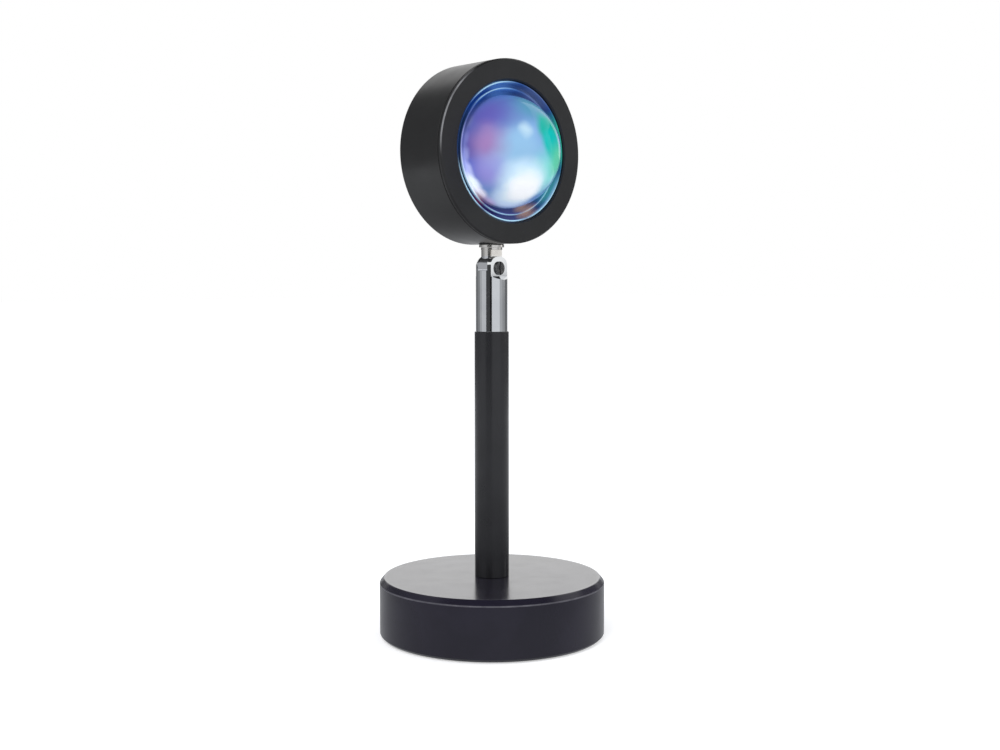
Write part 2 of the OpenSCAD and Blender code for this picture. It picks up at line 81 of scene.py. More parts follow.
# Cards that only shiny faces see, to the left and right of the camera: the light each gives, the
# angles it spans, counted from the camera, and its height
CARDS = [
    ("card_far_left", 0.16, -158, -120, 0.25),
    ("card_far_left_high", 0.16, -142, -120, 2.2),
    ("card_left", 0.24, -120, -95, 2.2),
    ("card_left_middle", 0.42, -95, -76, 2.0),
    ("card_left_front", 0.57, -76, -40, 0.8),
    ("card_middle", 0.06, -40, -12, 0.38),
    ("card_middle_dark", 0.014, -12, 2, 0.38),
    ("card_right_front", 0.72, 2, 60, 0.8),
    ("card_right", 0.45, 60, 80, 0.8),
    ("card_right_back", 0.36, 80, 93, 0.8),
    ("card_right_low", 0.3, 93, 112, 0.161),
    ("card_far_right", 0.16, 112, 142, 0.8),
    ("card_far_right_low", 0.16, 142, 158, 0.25),
]

FINISHES = {}  # the record's slot name to its material


# ---------- Camera, floor and light ----------

def place_camera():
    """The camera that fits the photograph's outlines."""
    camera = bpy.data.objects.new("camera", bpy.data.cameras.new("camera"))
    bpy.context.scene.collection.objects.link(camera)
    camera.data.sensor_width = 36
    camera.data.lens = 50.21
    camera.data.shift_x = 0.0083
    camera.data.shift_y = -0.0247
    camera.data.clip_start = 0.01
    camera.data.clip_end = 20
    turn = Matrix.Rotation(math.radians(CAMERA_AZIMUTH), 4, "Z")
    tilt = Matrix.Rotation(math.radians(90 - CAMERA_DOWN), 4, "X")
    roll = Matrix.Rotation(CAMERA_ROLL, 4, "Z")
    camera.matrix_world = Matrix.Translation(CAMERA_PLACE) @ turn @ tilt @ roll
    bpy.context.scene.camera = camera


def soft_lamp(name, place, target, size, power):
    lamp = bpy.data.lights.new(name, "AREA")
    lamp.shape = "RECTANGLE"
    lamp.size, lamp.size_y = size
    lamp.energy = power
    lamp_object = bpy.data.objects.new(name, lamp)
    lamp_object.location = place
    lamp_object.rotation_euler = (Vector(target) - Vector(place)).to_track_quat("-Z", "Y").to_euler()
    lamp_object.visible_glossy = False
    bpy.context.scene.collection.objects.link(lamp_object)


def new_sheet(name, size=1, place=(0, 0, 0)):
    bpy.ops.object.select_all(action="DESELECT")
    bpy.ops.mesh.primitive_plane_add(size=size, location=place)
    sheet = bpy.context.object
    sheet.name = name
    return sheet


def card(name, level, first, last, top):
    """A card that stands on the floor and faces the lamp, between two angles from the camera."""
    azimuth = math.radians(CAMERA_AZIMUTH + (first + last) / 2)
    width = 2 * CARD_DISTANCE * math.tan(math.radians((last - first) / 2))
    sheet = new_sheet(name)
    sheet.scale = (width, top, 1)
    sheet.rotation_euler = (math.radians(90), 0, azimuth)
    sheet.location = (math.sin(azimuth) * CARD_DISTANCE, -math.cos(azimuth) * CARD_DISTANCE, top / 2)
    finish_card(sheet, level)


def floor_card():
    """What shiny faces see of the floor, with a painted shade: dark in a ring round the base, where its
    shadow falls, and lighter within it and further out."""
    sheet = new_sheet("floor_card", 2.5, (0, 0, 0.0003))
    finish_card(sheet, 1.0)
    tree = sheet.data.materials[0].node_tree
    away = tree.nodes.new("ShaderNodeVectorMath")
    away.operation = "LENGTH"
    tree.links.new(tree.nodes.new("ShaderNodeTexCoord").outputs["Object"], away.inputs[0])
    close = spread(tree, away.outputs["Value"], 0.14, 0.18, 0.42, 0.0)
    near = spread(tree, away.outputs["Value"], 0.18, 0.32, 0.13, 0.62)
    far = spread(tree, away.outputs["Value"], 0.45, 1.1, 0.0, 0.45)
    glow = next(n for n in tree.nodes if n.type == "EMISSION")
    tree.links.new(calculate(tree, "ADD", calculate(tree, "ADD", close, near), far), glow.inputs["Strength"])


def finish_card(sheet, level):
    """Keeps a card out of sight but for reflections, and gives it its light."""
    only(sheet)
    bpy.ops.object.transform_apply(location=True, rotation=True, scale=True)
    sheet.visible_camera = sheet.visible_diffuse = sheet.visible_shadow = False
    sheet.visible_transmission = False
    material = bpy.data.materials.new(sheet.name)
    material.use_nodes = True
    tree = material.node_tree
    tree.nodes.clear()
    glow = tree.nodes.new("ShaderNodeEmission")
    glow.inputs["Color"].default_value = grey(level, (0.97, 0.99, 1.03))
    tree.links.new(glow.outputs[0], tree.nodes.new("ShaderNodeOutputMaterial").inputs["Surface"])
    sheet.data.materials.append(material)


def seen_rays(tree):
    """One for the rays that see a background: the camera's, and those off metal and through glass."""
    rays = tree.nodes.new("ShaderNodeLightPath").outputs
    seen = calculate(tree, "MAXIMUM", rays["Is Camera Ray"], rays["Is Glossy Ray"])
    return calculate(tree, "MAXIMUM", seen, rays["Is Transmission Ray"])


def light_world():
    world = bpy.data.worlds.new("studio")
    world.use_nodes = True
    bpy.context.scene.world = world
    tree = world.node_tree
    tree.nodes.clear()
    out = tree.nodes.new("ShaderNodeOutputWorld")
    lit = tree.nodes.new("ShaderNodeBackground")
    lit.inputs["Color"].default_value = (0.93, 0.95, 1, 1)
    lit.inputs["Strength"].default_value = 0.7
    seen = tree.nodes.new("ShaderNodeBackground")
    seen.inputs["Color"].default_value = (1, 1, 1, 1)
    seen.inputs["Strength"].default_value = 1
    mix = tree.nodes.new("ShaderNodeMixShader")
    tree.links.new(seen_rays(tree), mix.inputs["Fac"])
    tree.links.new(lit.outputs[0], mix.inputs[1])
    tree.links.new(seen.outputs[0], mix.inputs[2])
    tree.links.new(mix.outputs[0], out.inputs["Surface"])


def lay_floor():
    """A white floor that keeps the lamp's soft shadow."""
    floor = new_sheet("floor", 16, (0, 0, -0.00005))
    bpy.ops.object.transform_apply(location=True, rotation=True, scale=True)
    material = bpy.data.materials.new("floor_white")
    material.use_nodes = True
    tree = material.node_tree
    tree.nodes.clear()
    out = tree.nodes.new("ShaderNodeOutputMaterial")
    paper = tree.nodes.new("ShaderNodeBsdfDiffuse")
    paper.inputs["Color"].default_value = (0.8, 0.8, 0.8, 1)
    glow = tree.nodes.new("ShaderNodeEmission")
    glow.inputs["Color"].default_value = (1, 1, 1, 1)
    glow.inputs["Strength"].default_value = 0.5
    both = tree.nodes.new("ShaderNodeAddShader")
    mix = tree.nodes.new("ShaderNodeMixShader")
    tree.links.new(paper.outputs[0], both.inputs[0])
    tree.links.new(glow.outputs[0], both.inputs[1])
    tree.links.new(seen_rays(tree), mix.inputs["Fac"])
    tree.links.new(paper.outputs[0], mix.inputs[1])
    tree.links.new(both.outputs[0], mix.inputs[2])
    tree.links.new(mix.outputs[0], out.inputs["Surface"])
    floor.data.materials.append(material)


# ---------- Finishes ----------

def group_with(name, inputs, outputs):
    group = bpy.data.node_groups.new(name, "ShaderNodeTree")
    for socket, kind, value in inputs:
        made = group.interface.new_socket(name=socket, in_out="INPUT", socket_type="NodeSocket" + kind)
        if value is not None:
            made.default_value = value
    for socket, kind in outputs:
        group.interface.new_socket(name=socket, in_out="OUTPUT", socket_type="NodeSocket" + kind)
    return group, group.nodes.new("NodeGroupInput"), group.nodes.new("NodeGroupOutput")


def feed(tree, socket, value):
    """Links a socket to another, or sets it to a number, a colour or a place."""
    if isinstance(value, bpy.types.NodeSocket):
        tree.links.new(value, socket)
    else:
        socket.default_value = value


def noise_in(tree, place, size, detail=3.0):
    noise = tree.nodes.new("ShaderNodeTexNoise")
    noise.inputs["Detail"].default_value = detail
    tree.links.new(place, noise.inputs["Vector"])
    feed(tree, noise.inputs["Scale"], size)
    return noise.outputs


def spread(tree, value, low_in, high_in, low, high, smooth=False):
    """Maps a value from one range to another; the ranges' ends may be numbers or sockets."""
    ranged = tree.nodes.new("ShaderNodeMapRange")
    ranged.interpolation_type = "SMOOTHSTEP" if smooth else "LINEAR"
    for socket, number in (("Value", value), ("From Min", low_in), ("From Max", high_in), ("To Min", low),
                           ("To Max", high)):
        feed(tree, ranged.inputs[socket], number)
    return ranged.outputs["Result"]


def blend_colours(tree, share, first, second):
    """Mixes two colours, which may be tuples or sockets, by a share."""
    mix = tree.nodes.new("ShaderNodeMix")
    mix.data_type = "RGBA"
    for socket, value in (("Factor", share), (6, first), (7, second)):
        feed(tree, mix.inputs[socket], value)
    return mix.outputs[2]


def calculate(tree, operation, first, second):
    node = tree.nodes.new("ShaderNodeMath")
    node.operation = operation
    feed(tree, node.inputs[0], first)
    feed(tree, node.inputs[1], second)
    return node.outputs[0]


def own_place(tree):
    """The object's own coordinates, from the node that new_finish put in."""
    return next(n for n in tree.nodes if n.type == "TEX_COORD").outputs["Object"]


def apart(tree, place):
    """X, Y and Z of a place."""
    node = tree.nodes.new("ShaderNodeSeparateXYZ")
    tree.links.new(place, node.inputs[0])
    return node.outputs


def soft_patch(tree, place, centre, core, reach):
    """How far a place lies in a soft round patch, whose sizes are in millimetres."""
    return place_group(tree, "soft_patch", Place=place, Centre=tuple(c * MM for c in centre),
                       Core=core * MM, Reach=reach * MM).outputs["Share"]


def make_mottle_group():
    """Colour that wanders between two tones, with patchy roughness and a fine grain for the bump."""
    group, given, made = group_with("mottle_and_grain", [
        ("Place", "Vector", None), ("Tone", "Color", (0.5, 0.5, 0.5, 1)),
        ("Other tone", "Color", (0.6, 0.6, 0.6, 1)),
        ("Mottle size", "Float", 60.0), ("Grain size", "Float", 2500.0),
        ("Smooth", "Float", 0.3), ("Rough", "Float", 0.4),
    ], [("Colour", "Color"), ("Roughness", "Float"), ("Height", "Float")])
    place = given.outputs["Place"]
    mottle = noise_in(group, place, given.outputs["Mottle size"])["Fac"]
    share = spread(group, mottle, 0.35, 0.65, 0.0, 1.0, smooth=True)
    group.links.new(blend_colours(group, share, given.outputs["Tone"], given.outputs["Other tone"]),
                    made.inputs["Colour"])
    patches = noise_in(group, place, calculate(group, "MULTIPLY", given.outputs["Mottle size"], 2.3))["Fac"]
    group.links.new(spread(group, patches, 0.3, 0.7, given.outputs["Smooth"], given.outputs["Rough"]),
                    made.inputs["Roughness"])
    group.links.new(noise_in(group, place, given.outputs["Grain size"], 2.0)["Fac"], made.inputs["Height"])


def make_streak_group():
    """Fine lines that run round a turned metal piece, from its height alone."""
    group, given, made = group_with("turning_lines", [
        ("Place", "Vector", None), ("Fineness", "Float", 9000.0),
    ], [("Height", "Float")])
    height = apart(group, given.outputs["Place"])["Z"]
    together = group.nodes.new("ShaderNodeCombineXYZ")
    group.links.new(calculate(group, "MULTIPLY", height, given.outputs["Fineness"]), together.inputs["Z"])
    group.links.new(noise_in(group, together.outputs[0], 1.0, 2.0)["Fac"], made.inputs["Height"])


def make_spot_group():
    """How far a point lies inside a soft round patch."""
    group, given, made = group_with("soft_patch", [
        ("Place", "Vector", None), ("Centre", "Vector", (0, 0, 0)),
        ("Core", "Float", 0.0), ("Reach", "Float", 0.01),
    ], [("Share", "Float")])
    distance = group.nodes.new("ShaderNodeVectorMath")
    distance.operation = "DISTANCE"
    group.links.new(given.outputs["Place"], distance.inputs[0])
    group.links.new(given.outputs["Centre"], distance.inputs[1])
    group.links.new(spread(group, distance.outputs["Value"], given.outputs["Core"], given.outputs["Reach"],
                           1.0, 0.0, smooth=True), made.inputs["Share"])


def place_group(tree, name, **values):
    """Puts a shared group in a material; names with _ stand for sockets with spaces."""
    node = tree.nodes.new("ShaderNodeGroup")
    node.node_tree = bpy.data.node_groups[name]
    for socket, value in values.items():
        feed(tree, node.inputs[socket.replace("_", " ")], value)
    return node


def grey(value, tint=(1.0, 1.0, 1.0)):
    return (value * tint[0], value * tint[1], value * tint[2], 1)


def new_finish(name):
    """Makes an empty material, and gives its nodes, its shader and the object's own place on it."""
    material = bpy.data.materials.new(name + "_finish")
    FINISHES[name] = material
    material.use_nodes = True
    tree = material.node_tree
    shader = tree.nodes["Principled BSDF"]
    place = tree.nodes.new("ShaderNodeTexCoord").outputs["Object"]
    return tree, shader, place


def grained(name, tone, other_tone, mottle=60.0, grain=2500.0, smooth=0.3, rough=0.4, bump=0.02, depth=0.0001,
            metallic=0.0, ior=1.5):
    """A finish of two near tones, mottled and grained."""
    tree, shader, place = new_finish(name)
    node = place_group(tree, "mottle_and_grain", Place=place, Tone=tone, Other_tone=other_tone,
                       Mottle_size=mottle, Grain_size=grain, Smooth=smooth, Rough=rough)
    tree.links.new(node.outputs["Colour"], shader.inputs["Base Color"])
    tree.links.new(node.outputs["Roughness"], shader.inputs["Roughness"])
    bumps = tree.nodes.new("ShaderNodeBump")
    bumps.inputs["Strength"].default_value = bump
    bumps.inputs["Distance"].default_value = depth
    tree.links.new(node.outputs["Height"], bumps.inputs["Height"])
    tree.links.new(bumps.outputs["Normal"], shader.inputs["Normal"])
    shader.inputs["Metallic"].default_value = metallic
    shader.inputs["IOR"].default_value = ior
    return FINISHES[name]


def turned_metal(name, tone, other_tone, fineness, smooth, rough, bump):
    """A metal with fine turning lines round it."""
    tree = grained(name, tone, other_tone, mottle=90, smooth=smooth, rough=rough, metallic=1.0).node_tree
    lines = place_group(tree, "turning_lines", Fineness=fineness, Place=own_place(tree))
    bumps = next(n for n in tree.nodes if n.type == "BUMP")
    bumps.inputs["Strength"].default_value = bump
    bumps.inputs["Distance"].default_value = 0.00005
    tree.links.new(lines.outputs["Height"], bumps.inputs["Height"])


def polish_top(material, height):
    """A lacquer coat over what lies above a height, with soft edges to it."""
    tree = material.node_tree
    shader = tree.nodes["Principled BSDF"]
    z = apart(tree, own_place(tree))["Z"]
    tree.links.new(spread(tree, z, (height - 0.2) * MM, (height + 0.2) * MM, 0.0, 0.8),
                   shader.inputs["Coat Weight"])
    shader.inputs["Coat Roughness"].default_value = 0.17


def polish_below(material, height):
    """Brings the tongue under a height to the fork's colour and polish."""
    tree = material.node_tree
    shader = tree.nodes["Principled BSDF"]
    group = next(n for n in tree.nodes if n.type == "GROUP" and n.node_tree.name == "mottle_and_grain")
    z = apart(tree, own_place(tree))["Z"]
    above = spread(tree, z, (height - 0.3) * MM, (height + 0.3) * MM, 0.0, 1.0)
    tree.links.new(blend_colours(tree, above, (0.78, 0.79, 0.81, 1), group.outputs["Colour"]),
                   shader.inputs["Base Color"])
    tree.links.new(spread(tree, above, 0.0, 1.0, 0.04, group.outputs["Roughness"]),
                   shader.inputs["Roughness"])


def paint_edge_highlight(material, share, tone):
    """Paints a highlight along an edge: lightens it by a share from nought to one that a little noise breaks
    up.
    """
    tree = material.node_tree
    shader = tree.nodes["Principled BSDF"]
    uneven = spread(tree, noise_in(tree, own_place(tree), 160)["Fac"], 0.35, 0.65, 0.55, 1.0)
    paint = shader.inputs["Base Color"].links[0].from_socket
    tree.links.new(blend_colours(tree, calculate(tree, "MULTIPLY", share, uneven), paint, (*tone, 1)),
                   shader.inputs["Base Color"])


def radius_about(tree, first, second):
    """Distance from an axis, from the two coordinates across it."""
    flat = tree.nodes.new("ShaderNodeCombineXYZ")
    tree.links.new(first, flat.inputs["X"])
    tree.links.new(second, flat.inputs["Y"])
    length = tree.nodes.new("ShaderNodeVectorMath")
    length.operation = "LENGTH"
    tree.links.new(flat.outputs[0], length.inputs[0])
    return length.outputs["Value"]


def paint_base_edge_highlights(material):
    """Painted highlights: the rim of the top and the lower edge of its bevel are painted lighter, where they
    would catch the light.
    """
    tree = material.node_tree
    x, y, z = apart(tree, own_place(tree))
    radius = radius_about(tree, x, y)
    foot = BASE_TOP - 2.7
    low = calculate(tree, "MULTIPLY", band(tree, z, foot, foot + 0.4, 0.2),
                    spread(tree, radius, (BASE_R - 0.7) * MM, (BASE_R - 0.5) * MM, 0.0, 0.55))
    top = calculate(tree, "MULTIPLY", band(tree, radius, 47.25, 47.6, 0.15),
                    spread(tree, z, (BASE_TOP - 0.4) * MM, (BASE_TOP - 0.2) * MM, 0.0, 0.6))
    paint_edge_highlight(material, calculate(tree, "MAXIMUM", low, top), (0.2, 0.195, 0.22))


def paint_bezel_highlight(material):
    """A painted highlight: the bezel's bevel is painted lighter on its upper left, as seen from the front,
    where it would catch the light.
    """
    tree = material.node_tree
    here = from_head_axis(tree, own_place(tree))
    x, y, z = apart(tree, here)
    ring = band(tree, radius_about(tree, x, z), HEAD_R - 0.5, HEAD_R - 0.08, 0.12)
    front = spread(tree, y, -13.8 * MM, -13.65 * MM, 1.0, 0.0)
    side = soft_patch(tree, here, round_rim(153, 39.5), 10, 24)
    paint_edge_highlight(material, calculate(tree, "MULTIPLY", calculate(tree, "MULTIPLY", ring, front), side),
             (0.27, 0.27, 0.28))


def from_head_axis(tree, place):
    """The same place, with its height counted from the head's axis."""
    shift = tree.nodes.new("ShaderNodeMapping")
    shift.inputs["Location"].default_value = (0, 0, -HEAD_Z * MM)
    tree.links.new(place, shift.inputs["Vector"])
    return shift.outputs["Vector"]


def make_finishes():
    make_mottle_group()
    make_streak_group()
    make_spot_group()
    base_paint = grained("black_paint", grey(0.009, (1.15, 1, 2)), grey(0.013, (1.15, 1, 1.9)), mottle=35,
                         grain=3200, smooth=0.2, rough=0.27, bump=0.05, ior=1.45)
    polish_top(base_paint, BASE_TOP - 0.3)
    # Painted highlights on the base's top rim and on the lower edge of its bevel
    paint_base_edge_highlights(base_paint)
    grained("pole_paint", grey(0.01, (1, 1, 1.2)), grey(0.013, (1, 1, 1.2)), mottle=50, grain=3500,
            smooth=0.2, rough=0.28, bump=0.06)
    grained("drum_paint", grey(0.008), grey(0.011), mottle=40, grain=3800, smooth=0.28, rough=0.36,
            bump=0.08)
    # Painted highlight on the bezel's bevel
    paint_bezel_highlight(grained("bezel_paint", grey(0.008, (1, 1.02, 1.1)), grey(0.011, (1, 1.02, 1.1)), mottle=45,
                           grain=4200, smooth=0.42, rough=0.55, bump=0.1))
    turned_metal("chrome", grey(0.78, (0.96, 0.98, 1)), grey(0.84, (0.97, 0.99, 1)), 4000, 0.05, 0.09,
                 0.003)
    turned_metal("nickel", grey(0.74, (1, 0.97, 0.92)), grey(0.82, (1, 0.97, 0.92)), 9000, 0.12, 0.2, 0.02)
    polish_below(FINISHES["nickel"], FORK_TOP)
    turned_metal("steel", grey(0.1), grey(0.16), 7000, 0.22, 0.34, 0.08)
    turned_metal("brass", (0.72, 0.55, 0.26, 1), (0.78, 0.62, 0.32, 1), 6000, 0.22, 0.34, 0.06)
    grained("cast_weight", grey(0.09), grey(0.15), mottle=140, grain=900, smooth=0.6, rough=0.8, bump=0.5,
            depth=0.0003, metallic=0.6)
    grained("foam_pad", grey(0.012), grey(0.022), mottle=300, grain=1600, smooth=0.85, rough=0.95, bump=0.6,
            depth=0.0003)
    grained("rubber", grey(0.014), grey(0.02), mottle=120, grain=2600, smooth=0.6, rough=0.75, bump=0.2)
    grained("black_plastic", grey(0.012), grey(0.017), mottle=90, grain=2200, smooth=0.4, rough=0.5, bump=0.2)
    grained("bare_aluminium", grey(0.62), grey(0.7), mottle=90, grain=1800, smooth=0.3, rough=0.42, bump=0.1,
            metallic=1.0)
    grained("reflector", grey(0.86), grey(0.92), mottle=70, grain=1500, smooth=0.06, rough=0.12, bump=0.03,
            metallic=1.0)
    grained("board_white", grey(0.72), grey(0.8), mottle=160, grain=2600, smooth=0.4, rough=0.5, bump=0.05)
    grained("chip_yellow", (0.8, 0.6, 0.08, 1), (0.85, 0.68, 0.15, 1), mottle=400, grain=3000, smooth=0.2,
            rough=0.3, bump=0.05)
    grained("lead_jacket", grey(0.016), grey(0.024), mottle=120, grain=2400, smooth=0.45, rough=0.55,
            bump=0.15)
    amber = grained("filter_glass", (0.9, 0.32, 0.06, 1), (0.95, 0.5, 0.12, 1), mottle=60, grain=1200,
                    smooth=0.04, rough=0.08, bump=0.01)
    amber.node_tree.nodes["Principled BSDF"].inputs["Transmission Weight"].default_value = 0.7
    make_lens_finish()


# Soft patches of colour on the dome: painted reflections and refractions of the coloured filter behind the
# glass, with painted highlights and a painted reflection of the white floor low down. Each has its centre
# from the head's middle in millimetres (to the right, towards the back, up), its core and reach, its colour
# and how much of it shows
DOME_PATCHES = [
    ("sky", (-13.4, -29.2, -1.4), 7, 25, (0.25, 0.45, 0.66), 1.0),
    ("top_blue", (-7.2, -19.7, 20.7), 4, 17, (0.09, 0.17, 0.44), 1.0),
    ("top_middle", (-9.1, -26.3, 14.5), 1, 10, (0.13, 0.26, 0.48), 0.7),
    ("upper_violet", (-18, -18, 13), 2, 18, (0.11, 0.097, 0.385), 0.95),
    ("top_right", (2.6, -24.6, 18.5), 4, 14, (0.09, 0.28, 0.4), 0.9),
    ("left_deep", (-24.2, -12.8, 0.8), 2, 14, (0.094, 0.096, 0.367), 0.95),
    ("left_low_blue", (-22.1, -14.9, -8.5), 0.5, 9, (0.076, 0.124, 0.529), 0.85),
    ("centre_low", (-16.5, -25.2, -7.6), 1, 9, (0.3, 0.45, 0.68), 0.6),
    ("pink", (-20.6, -21, 2), 0.5, 13, (0.31, 0.18, 0.41), 0.95),
    ("low_lilac", (-19.2, -20, -10.3), 0.5, 12, (0.28, 0.25, 0.63), 0.9),
    ("low_cyan", (6.5, -30.3, -9), 3, 15, (0.2, 0.64, 0.61), 0.95),
    ("bottom_pale", (-5.8, -18, -21.9), 3, 12, (0.62, 0.75, 0.95), 0.95),
    ("floor_reflection_haze", (-5.4, -27.2, -15.1), 5, 15, (0.66, 0.84, 0.94), 0.85),
    ("floor_reflection", (-4.1, -25.8, -17.1), 4, 11, (0.93, 0.95, 0.98), 1.0),
    ("teal", (6.4, -30.6, 9), 4.8, 9.4, (0, 0.36, 0.29), 1.0),
    ("teal_low", (7.4, -31.8, 2.4), 4.2, 8.6, (0, 0.43, 0.39), 1.0),
    ("green", (12, -29.6, -4), 2, 10, (0.1, 0.54, 0.34), 0.95),
    ("small_highlight", (-7.4, -30.8, 7.7), 0.2, 4.8, (0.48, 0.65, 0.74), 0.75),
    ("edge_upper", (-21.7, -8.5, 11.3), 2, 5.5, (0.2, 0.22, 0.46), 0.85),
    ("edge_left", (-24.1, -9.1, 4.4), 2, 5.5, (0.26, 0.28, 0.575), 0.85),
    ("edge_middle", (-24.3, -9.3, -2.8), 2.2, 5.6, (0.34, 0.36, 0.64), 0.9),
    ("edge_low", (-22.7, -9.7, -9.1), 2.4, 5.8, (0.5, 0.53, 0.8), 0.95),
    ("edge_white", (-19.8, -10.1, -14.4), 2.2, 5.6, (0.82, 0.88, 0.97), 1.0),
    ("edge_pale", (-16, -10.2, -18.5), 2.2, 5.4, (0.88, 0.86, 0.97), 1.0),
    ("edge_pink", (-11.1, -10.4, -21.8), 2, 5.2, (0.66, 0.56, 0.88), 0.9),
]

# The same painted reflections and refractions for the glass round the dome, by the angle from its right side
# and the distance from its middle
RIM_PATCHES = [
    ("top", 98, 28, 2, 12, (0.07, 0.2, 0.52), 0.9),
    ("upper_left", 128, 28, 4, 12, (0.012, 0.07, 0.32), 0.95),
    ("left", 168, 27, 5, 14, (0.014, 0.04, 0.12), 0.9),
    ("low_left", 203, 27, 6, 14, (0.012, 0.022, 0.06), 0.95),
    ("bottom_left", 242, 28.5, 4, 13, (0.035, 0.03, 0.16), 0.95),
    ("bottom", 272, 28, 2, 10, (0.07, 0.08, 0.24), 0.9),
    ("streak", 294, 27, 1, 7.5, (0.52, 0.34, 0.26), 0.85),
    ("wine", 231, 26, 1, 5, (0.24, 0.03, 0.08), 0.75),
    ("low_right", 328, 28, 3, 12, (0.1, 0.42, 0.46), 0.9),
    ("right", 12, 28, 6, 15, (0.03, 0.4, 0.27), 0.95),
    ("upper_right", 58, 28, 3, 11, (0.1, 0.15, 0.32), 0.9),
]

# Painted reflections on the inner slope of the raised ring, laid out in the same way
RING_PATCHES = [
    ("pale_upper", 150, 26, 3, 10, (0.12, 0.16, 0.42), 0.7),
    ("pale_left", 176, 26, 4, 12, (0.3, 0.34, 0.68), 0.95),
    ("pale_low", 200, 26, 4, 11, (0.6, 0.68, 0.95), 0.95),
    ("white_low", 216, 26, 3, 9, (0.9, 0.94, 0.98), 1.0),
]

# Painted glints where the lip and the ring's outer edge catch the light: angle, core and reach
LINE_PATCHES = [(112, 4, 16), (215, 6, 16), (262, 6, 18), (312, 6, 18)]


def lay_patches(tree, place, patches, colour, within=None):
    """Lays soft patches over a colour, one after another, and within a mask if there is one."""
    for _, centre, core, reach, tone, amount in patches:
        share = calculate(tree, "MULTIPLY", soft_patch(tree, place, centre, core, reach), amount)
        if within:
            share = calculate(tree, "MULTIPLY", share, within)
        colour = blend_colours(tree, share, colour, (*tone, 1))
    return colour


def on_rim(patches):
    """Turns the angle and distance of each patch into its centre."""
    return [(name, round_rim(angle, away), *rest) for name, angle, away, *rest in patches]


def round_rim(angle, radius):
    """A place on the glass round the dome."""
    return (radius * math.cos(math.radians(angle)), -10, radius * math.sin(math.radians(angle)))


def band(tree, value, low, high, soft):
    """One between two radii, falling to none over a soft edge."""
    rise = spread(tree, value, (low - soft) * MM, low * MM, 0.0, 1.0)
    fall = spread(tree, value, high * MM, (high + soft) * MM, 1.0, 0.0)
    return calculate(tree, "MULTIPLY", rise, fall)


def pushed_about(tree, place):
    """A place moved by up to 2 mm by a smooth noise, so that no patch is quite round."""
    waver = noise_in(tree, place, 110, 1.5)["Color"]
    centred = tree.nodes.new("ShaderNodeVectorMath")
    centred.operation = "SUBTRACT"
    tree.links.new(waver, centred.inputs[0])
    centred.inputs[1].default_value = (0.5, 0.5, 0.5)
    pushed = tree.nodes.new("ShaderNodeVectorMath")
    pushed.operation = "MULTIPLY_ADD"
    tree.links.new(centred.outputs[0], pushed.inputs[0])
    pushed.inputs[1].default_value = (0.004, 0.004, 0.004)
    tree.links.new(place, pushed.inputs[2])
    return pushed.outputs[0]


def make_lens_finish():
    """Coated glass, its colours painted on: painted reflections and refractions in soft patches on the dome
    and on the rings round it, painted glints, and a faint painted glow.
    """
    tree, shader, place = new_finish("lens_glass")
    here = from_head_axis(tree, place)
    x, _, z = apart(tree, here)
    radius = radius_about(tree, x, z)
    pushed = pushed_about(tree, here)
    dome = lay_patches(tree, pushed, DOME_PATCHES, (0.13, 0.25, 0.55, 1))
    rim = lay_patches(tree, pushed, on_rim(RIM_PATCHES), (0.03, 0.08, 0.26, 1))
    beyond = spread(tree, radius, (DOME_R - 0.1) * MM, (DOME_R + 0.1) * MM, 0.0, 1.0)
    slope = band(tree, radius, DOME_R + 0.1, 27.2, 0.25)
    colour = lay_patches(tree, here, on_rim(RING_PATCHES), blend_colours(tree, beyond, dome, rim), slope)
    # Painted glints along the lip and along the ring's outer edge
    shine = 0.0
    for angle, core, reach in LINE_PATCHES:
        shine = calculate(tree, "MAXIMUM", soft_patch(tree, here, round_rim(angle, 29), core, reach), shine)
    lip = band(tree, radius, 29.6, 30.1, 0.15)
    ring_edge = band(tree, radius, 27.1, 27.45, 0.1)
    lines = calculate(tree, "MAXIMUM", lip, calculate(tree, "MULTIPLY", ring_edge, 0.7))
    colour = blend_colours(tree, calculate(tree, "MULTIPLY", lines, shine), colour, (0.42, 0.68, 0.84, 1))
    tree.links.new(colour, shader.inputs["Base Color"])
    # The lens glows faintly in its own colours: painted light, as it is no lamp
    tree.links.new(colour, shader.inputs["Emission Color"])
    shader.inputs["Emission Strength"].default_value = 0.25
    dust = noise_in(tree, here, 700)["Fac"]
    tree.links.new(spread(tree, dust, 0.3, 0.75, 0.05, 0.1), shader.inputs["Roughness"])
    shader.inputs["IOR"].default_value = 1.33
    shader.inputs["Specular IOR Level"].default_value = 0.3


# ---------- Ways of making a piece ----------

def rounded(points, loop, steps):
    """Rounds the corners that name a radius, with a ring close to each side so that flats stay flat."""
    hold = 0.12
    made = []
    last = len(points) - 1
    for index, point in enumerate(points):
        if len(point) == 2:
            made.append(point)
            continue
        x, z, radius = point
        here = Vector((x, z))
        on_axis = Vector((0, z))
        before = Vector(points[index - 1][:2]) if loop or index > 0 else on_axis
        after = Vector(points[(index + 1) % len(points)][:2]) if loop or index < last else on_axis
        way_in = (before - here).normalized()
        way_out = (after - here).normalized()
        half_angle = way_in.angle(way_out) / 2
        run = radius / math.tan(half_angle)
        start, end = here + way_in * run, here + way_out * run
        middle = here + (way_in + way_out).normalized() * (radius / math.sin(half_angle))
        made.append(tuple(start + way_in * hold))
        first = start - middle
        whole = first.angle_signed(end - middle)
        for step in range(steps + 1):
            made.append(tuple(middle + Matrix.Rotation(-whole * step / steps, 2) @ first))
        made.append(tuple(end + way_out * hold))
    return made


def new_piece(name):
    piece = bpy.context.object
    piece.name = piece.data.name = name
    return piece


def only(piece):
    if bpy.context.object and bpy.context.object.mode != "OBJECT":
        bpy.ops.object.mode_set(mode="OBJECT")
    bpy.ops.object.select_all(action="DESELECT")
    piece.select_set(True)
    bpy.context.view_layer.objects.active = piece


